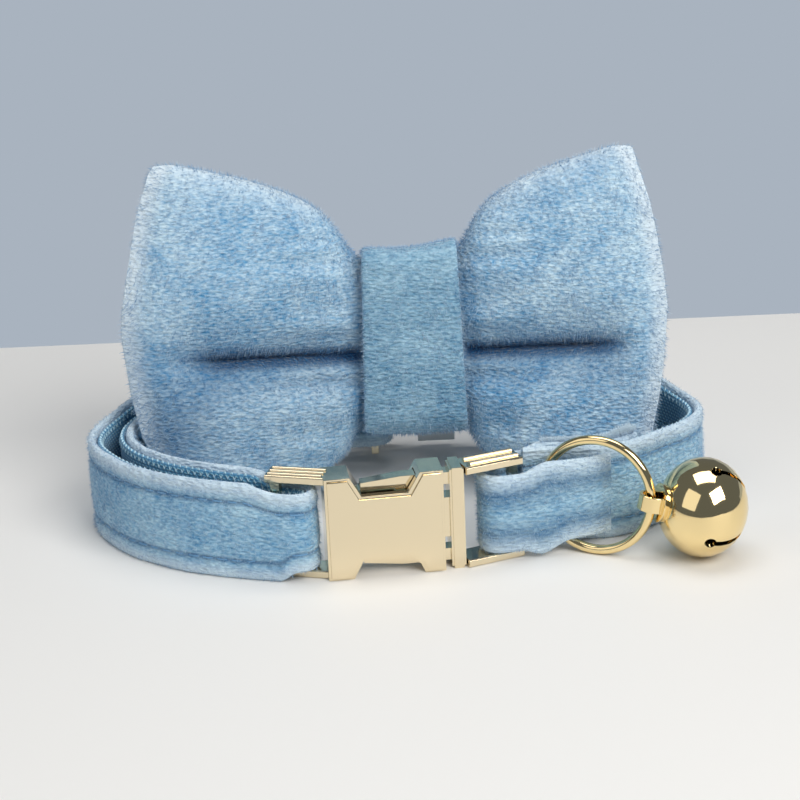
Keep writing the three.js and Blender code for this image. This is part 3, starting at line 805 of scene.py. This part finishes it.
def bow_painted_shade(p):
    """Painted shade on the bow: darker in the crease, just below it, at the lower left corner and next to the
    knot.
    """
    x, z = p[..., 0] - BOW_AT[0], (p - BOW_AT) @ bow_axis
    span = np.abs(x) / 47
    line = np.exp(-((z + 0.4) / 1.5) ** 2) * ease(0.16, 0.24, span) * (1 - ease(0.7, 0.86, span))
    below = 0.28 * np.exp(-((z + 4.5) / 4.0) ** 2) * ease(0.16, 0.3, span) * (1 - ease(0.7, 0.95, span))
    corner = 0.45 * np.exp(-((x + 44) / 9) ** 2 - ((z + 11) / 13) ** 2)
    near_knot = 0.3 * (1 - ease(9.5, 13, np.abs(x)))
    return np.clip(0.9 * line + below + corner + near_knot, 0, 1)


# Painted sheen: paler at the wing tips and along the upper edges where the wings turn away.
edge_on = np.exp(-(c / 0.42) ** 2) * (s > 0)
bow_painted_sheen = 0.75 * ease(0.9, 0.99, out) + 0.65 * edge_on * ease(0.25, 0.4, out)
bow_painted_sheen = np.clip(bow_painted_sheen, 0, 0.8)
bow.data.attributes.new("painted_sheen", "FLOAT", "POINT").data.foreach_set("value", bow_painted_sheen.ravel().astype(np.float32))
# Painted shade: darker in the crease, below it, at the lower left corner and beside the knot.
bow.data.attributes.new("painted_shade", "FLOAT", "POINT").data.foreach_set(
    "value", bow_painted_shade(grid.reshape(-1, 3)).astype(np.float32))
dress(bow, velvet_cloth("velvet_bow", "#4690c2", "#cbe5f3", "#e4eef5"), "velvet", "bow_pad")


def comb_bow(base, up, r):
    """Nap brushed outwards and down over the wings."""
    lie = np.zeros_like(base)
    patch = ripple(base[:, 0], base[:, 2], 41, 12, 0.05, 0.3)
    lie[:, 0] = np.sign(base[:, 0] - 2) * (0.35 + 0.3 * patch)
    lie[:, 2] = -0.45 + 0.45 * patch
    return lie + r.normal(0, 0.25, base.shape)


# The bow's pile carries the same painted shade.
bow_pile = grow_pile(bow, "bow_pile", 49500, 0.95, 0.055, comb_bow, 13, bow_painted_shade)
dress(bow_pile, fibre, "velvet")

# Knot: a velvet band drawn tight round the waist, its edges turned under.
knot_section = []
for sy, sz, begin in ((1, 1, 0), (-1, 1, 90), (-1, -1, 180), (1, -1, 270)):
    for i in range(9):
        a = math.radians(begin + 90 * i / 8)
        knot_section.append((sy * (8.0 - 4.2) + 4.2 * math.cos(a), sz * (16.8 - 4.2) + 4.2 * math.sin(a)))
knot_section = np.array(knot_section)
closed = np.vstack([knot_section, knot_section[:1]])
length = np.concatenate([[0], np.cumsum(np.linalg.norm(np.diff(closed, axis=0), axis=1))])
at = np.linspace(0, length[-1], 181)[:-1]
ring_y, ring_z = (np.interp(at, length, closed[:, k]) for k in (0, 1))
normal_y = np.gradient(ring_z, edge_order=2)
normal_z = -np.gradient(ring_y, edge_order=2)
size = np.hypot(normal_y, normal_z)
normal_y, normal_z = normal_y / size, normal_z / size
band = []
HALF_BAND = 8.8
for px, inset in [(-1, 1.25), (-1, 0.7), (-0.985, 0.35), (-0.95, 0.12), (-0.88, 0.0)] + \
        [(t, 0.0) for t in np.linspace(-0.8, 0.8, 25)] + \
        [(0.88, 0.0), (0.95, 0.12), (0.985, 0.35), (1, 0.7), (1, 1.25)]:
    puff = 0.35 * (1 - px * px)
    flare = 1 + 0.045 * (-ring_z / 17)
    dip = 1.1 * (1 - (px + 0.25) ** 2) * np.clip((ring_z - 10) / 6.8, 0, 1)
    bump = 0.12 * ripple(px * 9 + 20, at, 51, 10, 0.3, 1.5)
    band.append(np.column_stack([px * HALF_BAND * flare, ring_y - normal_y * (inset - puff - bump),
                                 ring_z - normal_z * (inset - puff - bump) - dip]))
inner = [np.column_stack([px * (HALF_BAND - 0.3) * np.ones_like(at),
                          ring_y - normal_y * 1.3, ring_z - normal_z * 1.3])
         for px in (1, 0.3, -0.3, -1)]
rows = np.array(band + inner) + (0, 0, 2.4)
grid = from_bow(rows)
n, m = rows.shape[:2]
faces = [(i * m + k, i * m + (k + 1) % m, ((i + 1) % n) * m + (k + 1) % m, ((i + 1) % n) * m + k)
         for i in range(n) for k in range(m)]
mesh = bpy.data.meshes.new("knot_band")
mesh.from_pydata((grid.reshape(-1, 3) * MM).tolist(), [], faces)
knot = bpy.data.objects.new("knot_band", mesh)
bpy.context.scene.collection.objects.link(knot)
face_outwards(knot)
shade(knot, 60)
dress(knot, velvet_cloth("velvet_knot", "#4a82a8", "#a9cde0", "#e4eef5"), "velvet", "bow_knot")
knot_pile = grow_pile(knot, "knot_pile", 16000, 0.7, 0.05, comb_bow, 14)
dress(knot_pile, fibre, "velvet")

# Elastic: a plain knitted band behind the knot, round the strap.
elastic = eased_casting("bow_elastic", "elastic_loop", 0.15)
dress(elastic, plain_thread("elastic_knit", "#e6ebee"), "elastic", "bow_elastic")

# Floor, light and camera.
bpy.ops.mesh.primitive_plane_add(size=1)
floor = bpy.context.object
floor.name = "table_top"
floor.data.transform(Matrix.Diagonal((3.0, 3.0, 1, 1)))
floor.data.transform(Matrix.Translation((0, -1.5 + 0.107, 0)))
paint = bpy.data.materials.new("table_paint")
paint.use_nodes = True
paint.node_tree.nodes["Principled BSDF"].inputs["Base Color"].default_value = tint("#ececea")
paint.node_tree.nodes["Principled BSDF"].inputs["Roughness"].default_value = 0.6
floor.data.materials.append(paint)

world = bpy.data.worlds.new("studio")
bpy.context.scene.world = world
world.use_nodes = True
world.node_tree.nodes["Background"].inputs["Color"].default_value = tint("#8a93a0")
world.node_tree.nodes["Background"].inputs["Strength"].default_value = 0.48

bpy.ops.mesh.primitive_plane_add(size=1)
wall = bpy.context.object
wall.name = "back_wall"
wall.data.transform(Matrix.Translation((0, 0.4, -0.2)) @ Matrix.Rotation(math.radians(90), 4, "X")
                    @ Matrix.Diagonal((3.0, 0.6, 1, 1)))
wash = bpy.data.materials.new("wall_paint")
wash.use_nodes = True
wash.node_tree.nodes["Principled BSDF"].inputs["Base Color"].default_value = tint("#000000")
wash.node_tree.nodes["Principled BSDF"].inputs["Specular IOR Level"].default_value = 0.0
wash.node_tree.nodes["Principled BSDF"].inputs["Emission Color"].default_value = tint("#a9b3bf")
wash.node_tree.nodes["Principled BSDF"].inputs["Emission Strength"].default_value = 1.0
wall.data.materials.append(wash)


def soft_box(name, place, towards, size, power, colour=(1, 1, 1)):
    lamp = bpy.data.lights.new(name, "AREA")
    lamp.shape = "RECTANGLE"
    lamp.size, lamp.size_y = size
    lamp.energy = power
    lamp.color = colour
    holder = bpy.data.objects.new(name, lamp)
    bpy.context.scene.collection.objects.link(holder)
    holder.location = place
    holder.rotation_mode = "QUATERNION"
    holder.rotation_quaternion = (Vector(towards) - Vector(place)).to_track_quat("-Z", "Y")


soft_box("key", (0.30, -0.42, 0.46), (0, 0, 0.02), (0.45, 0.35), 3.4, (1, 0.965, 0.92))
soft_box("fill", (-0.5, -0.35, 0.4), (0, 0, 0.02), (0.5, 0.5), 0.7, (1, 0.97, 0.93))
soft_box("top", (0.0, 0.05, 0.75), (0, 0, 0), (0.6, 0.4), 2.3, (1, 0.97, 0.93))

ELEVATION, ROLL = math.radians(19.4), math.radians(2.5)
ahead = Vector((0, math.cos(ELEVATION), -math.sin(ELEVATION)))
rise = Vector((0, math.sin(ELEVATION), math.cos(ELEVATION)))
right = Vector((1, 0, 0)) * math.cos(ROLL) - rise * math.sin(ROLL)
over = Vector((1, 0, 0)) * math.sin(ROLL) + rise * math.cos(ROLL)
eye = bpy.data.cameras.new("camera")
eye.lens = 85.0
eye.sensor_width = 36.0
eye.clip_start = 0.01
camera = bpy.data.objects.new("camera", eye)
bpy.context.scene.collection.objects.link(camera)
camera.matrix_world = Matrix.Translation((-0.00074, -0.31173, 0.1304)) @ Matrix(
    (right, over, -ahead)).transposed().to_4x4()
bpy.context.scene.camera = camera
bpy.context.scene.view_settings.view_transform = "Standard"
